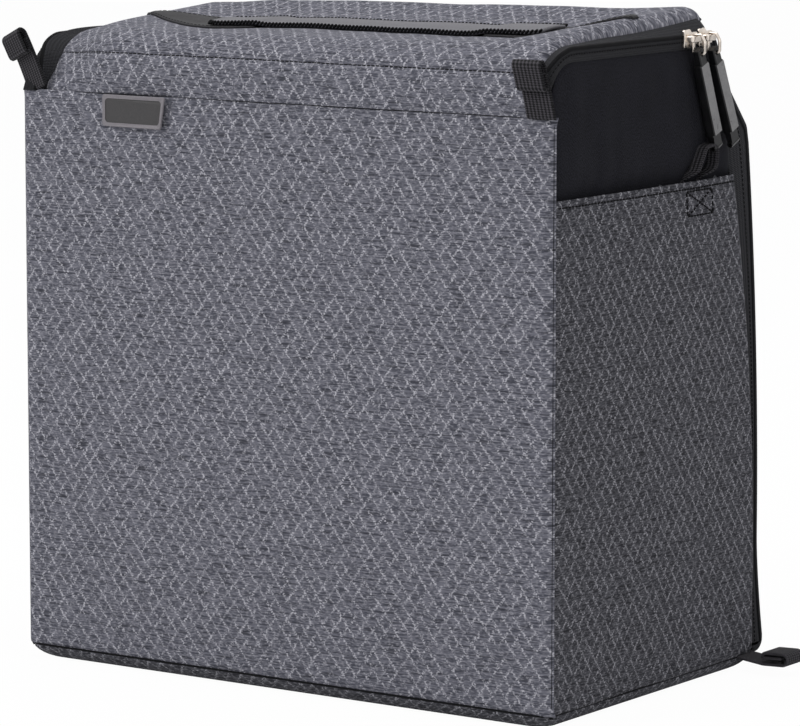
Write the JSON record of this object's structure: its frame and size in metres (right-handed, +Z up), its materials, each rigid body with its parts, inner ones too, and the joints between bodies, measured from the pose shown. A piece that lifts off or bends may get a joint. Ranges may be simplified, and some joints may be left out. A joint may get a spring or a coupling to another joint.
{
  "type": "camera bag insert",
  "caption": "Padded camera bag insert with side pockets, a folding lid and back door closed by side zips, a flat grab handle, webbing tabs and padded dividers.",
  "frame": {"origin": "centre of the base's underside, where the insert stands", "axes": "+X to the right along the front, +Y to the back door, +Z up"},
  "size_m": [0.371, 0.2026, 0.334],
  "materials": {
    "outer_fabric": "dark grey heather weave with a light lattice of threads",
    "black_fabric": "plain matt black cloth",
    "webbing": "black ribbed webbing",
    "zip_tape": "fine ribbed black tape",
    "foam": "dense padding foam",
    "lining": "brushed loop lining",
    "nickel": "bright nickel plate",
    "moulded_rubber": "satin black with a grey face",
    "handle_strap": "grained dark grey coated strap",
    "label_rubber": "moulded grey frame, dark field"
  },
  "bodies": {
    "shell": {"front_cover": "outer_fabric", "base_cover": "outer_fabric", "side_pocket_right": "outer_fabric", "side_pocket_left": "outer_fabric", "side_cover_right": "black_fabric", "side_cover_left": "black_fabric", "front_foam": "foam", "base_foam": "foam", "side_foam_right": "foam", "side_foam_left": "foam", "liner": "lining", "zip_tape_body_right": "zip_tape", "zip_tape_body_left": "zip_tape", "zip_coil_right": "zip_tape", "zip_coil_left": "zip_tape", "front_label": "label_rubber", "side_loop_right": "webbing", "side_loop_left": "webbing", "column_divider_right": "lining", "column_divider_left": "lining", "shelf_right_lower": "lining", "shelf_right_upper": "lining", "shelf_left_lower": "lining", "shelf_left_upper": "lining", "shelf_middle": "lining"},
    "lid_band": {"front_band": "outer_fabric", "zip_tape_band_right": "zip_tape", "zip_tape_band_left": "zip_tape"},
    "lid": {"lid_cover": "outer_fabric", "lid_foam": "foam", "lid_lining": "lining", "zip_tape_lid_right": "zip_tape", "zip_tape_lid_left": "zip_tape", "handle_patch_right": "handle_strap", "handle_patch_left": "handle_strap"},
    "handle": {"grab_handle": "handle_strap"},
    "door": {"door_cover": "outer_fabric", "door_foam": "foam", "door_lining": "lining", "door_top_band": "outer_fabric", "zip_tape_door_right": "zip_tape", "zip_tape_door_left": "zip_tape"},
    "lid_slider_right_body": {"lid_slider_right": "nickel"},
    "lid_pull_right_body": {"lid_ring_right": "nickel", "lid_pull_right": "moulded_rubber"},
    "door_slider_right_body": {"door_slider_right": "nickel"},
    "door_pull_right_body": {"door_ring_right": "nickel", "door_pull_right": "moulded_rubber"},
    "front_tab_right_body": {"front_tab_right": "webbing"},
    "rear_tab_right_body": {"rear_tab_right": "webbing"},
    "lid_slider_left_body": {"lid_slider_left": "nickel"},
    "lid_pull_left_body": {"lid_ring_left": "nickel", "lid_pull_left": "moulded_rubber"},
    "door_slider_left_body": {"door_slider_left": "nickel"},
    "door_pull_left_body": {"door_ring_left": "nickel", "door_pull_left": "moulded_rubber"},
    "front_tab_left_body": {"front_tab_left": "webbing"},
    "rear_tab_left_body": {"rear_tab_left": "webbing"}
  },
  "joints": [
    {"name": "band_fold", "type": "hinge", "parent": "shell", "child": "lid_band", "pos_m": [0, -0.0985, 0.286], "axis": [1, 0, 0], "range_deg": [0, 150]},
    {"name": "lid_fold", "type": "hinge", "parent": "lid_band", "child": "lid", "pos_m": [0, -0.1, 0.306], "axis": [1, 0, 0], "range_deg": [0, 90]},
    {"name": "handle_lift", "type": "slide", "parent": "lid", "child": "handle", "axis": [0, 0, 1], "range_m": [0, 0.015]},
    {"name": "door_fold", "type": "hinge", "parent": "shell", "child": "door", "pos_m": [0, 0.097, 0.012], "axis": [-1, 0, 0], "range_deg": [0, 90]},
    {"name": "lid_slider_right_run", "type": "slide", "parent": "shell", "child": "lid_slider_right_body", "axis": [0, -1, 0], "range_m": [0, 0.08]},
    {"name": "lid_pull_right_swing", "type": "hinge", "parent": "lid_slider_right_body", "child": "lid_pull_right_body", "pos_m": [0.16, 0.0265, 0.316], "axis": [0, -1, 0], "range_deg": [0, 90]},
    {"name": "door_slider_right_run", "type": "slide", "parent": "shell", "child": "door_slider_right_body", "axis": [0, 0.677, -0.736], "range_m": [0, 0.0285]},
    {"name": "door_pull_right_swing", "type": "hinge", "parent": "door_slider_right_body", "child": "door_pull_right_body", "pos_m": [0.16, 0.0402, 0.316], "axis": [0, -1, 0], "range_deg": [0, 90]},
    {"name": "front_tab_right_flex", "type": "hinge", "parent": "lid_band", "child": "front_tab_right_body", "pos_m": [0.148, -0.0977, 0.2885], "axis": [0, 1, 0], "range_deg": [-15, 25], "stiffness_Nm_per_rad": 0.01},
    {"name": "rear_tab_right_flex", "type": "hinge", "parent": "shell", "child": "rear_tab_right_body", "pos_m": [0.151, 0.085, 0.0045], "axis": [0, -1, 0], "range_deg": [0, 40], "stiffness_Nm_per_rad": 0.01},
    {"name": "lid_slider_left_run", "type": "slide", "parent": "shell", "child": "lid_slider_left_body", "axis": [0, -1, 0], "range_m": [0, 0.08]},
    {"name": "lid_pull_left_swing", "type": "hinge", "parent": "lid_slider_left_body", "child": "lid_pull_left_body", "pos_m": [-0.16, 0.0265, 0.316], "axis": [0, 1, 0], "range_deg": [0, 90]},
    {"name": "door_slider_left_run", "type": "slide", "parent": "shell", "child": "door_slider_left_body", "axis": [0, 0.677, -0.736], "range_m": [0, 0.0285]},
    {"name": "door_pull_left_swing", "type": "hinge", "parent": "door_slider_left_body", "child": "door_pull_left_body", "pos_m": [-0.16, 0.0402, 0.316], "axis": [0, 1, 0], "range_deg": [0, 90]},
    {"name": "front_tab_left_flex", "type": "hinge", "parent": "lid_band", "child": "front_tab_left_body", "pos_m": [-0.148, -0.0977, 0.2885], "axis": [0, 1, 0], "range_deg": [-15, 30], "stiffness_Nm_per_rad": 0.01},
    {"name": "rear_tab_left_flex", "type": "hinge", "parent": "shell", "child": "rear_tab_left_body", "pos_m": [-0.151, 0.085, 0.0045], "axis": [0, 1, 0], "range_deg": [0, 40], "stiffness_Nm_per_rad": 0.01}
  ]
}
